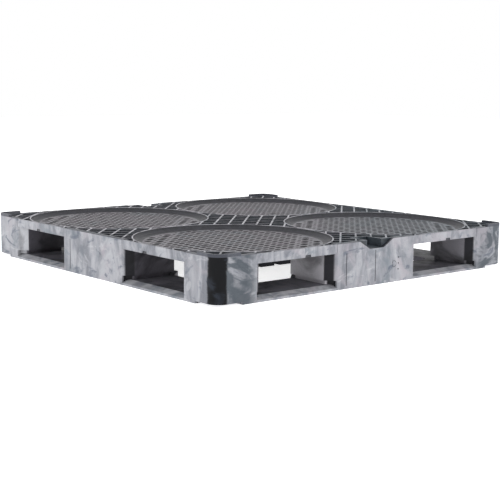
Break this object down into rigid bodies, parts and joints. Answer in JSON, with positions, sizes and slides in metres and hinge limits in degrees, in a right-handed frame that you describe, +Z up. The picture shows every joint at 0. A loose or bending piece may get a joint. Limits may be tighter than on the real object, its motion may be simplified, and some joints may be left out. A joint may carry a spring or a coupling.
{
  "type": "plastic pallet",
  "caption": "Square plastic drum pallet with a ribbed deck, round perforated drum seats, hollow legs, a perimeter base and fork openings on every side.",
  "frame": {"origin": "on the floor under the middle of the pallet", "axes": "+Z up; the legs with the trapezoid hand notches look along -Y and +Y; +X runs along the front from left to right"},
  "size_m": [1.219, 1.219, 0.143],
  "materials": {
    "side_plastic": "marbled recycled plastic, dull sheen",
    "deck": "darker marbled recycled plastic",
    "screw_steel": "zinc plated"
  },
  "bodies": {
    "root": {"top_deck": "deck", "base_frame": "side_plastic", "centre_leg": "side_plastic", "centre_foot": "side_plastic", "front_left_leg": "side_plastic", "front_right_leg": "side_plastic", "back_right_leg": "side_plastic", "back_left_leg": "side_plastic", "front_middle_leg": "side_plastic", "right_middle_leg": "side_plastic", "back_middle_leg": "side_plastic", "left_middle_leg": "side_plastic", "base_screws": "screw_steel", "deck_screws": "screw_steel"}
  },
  "joints": []
}
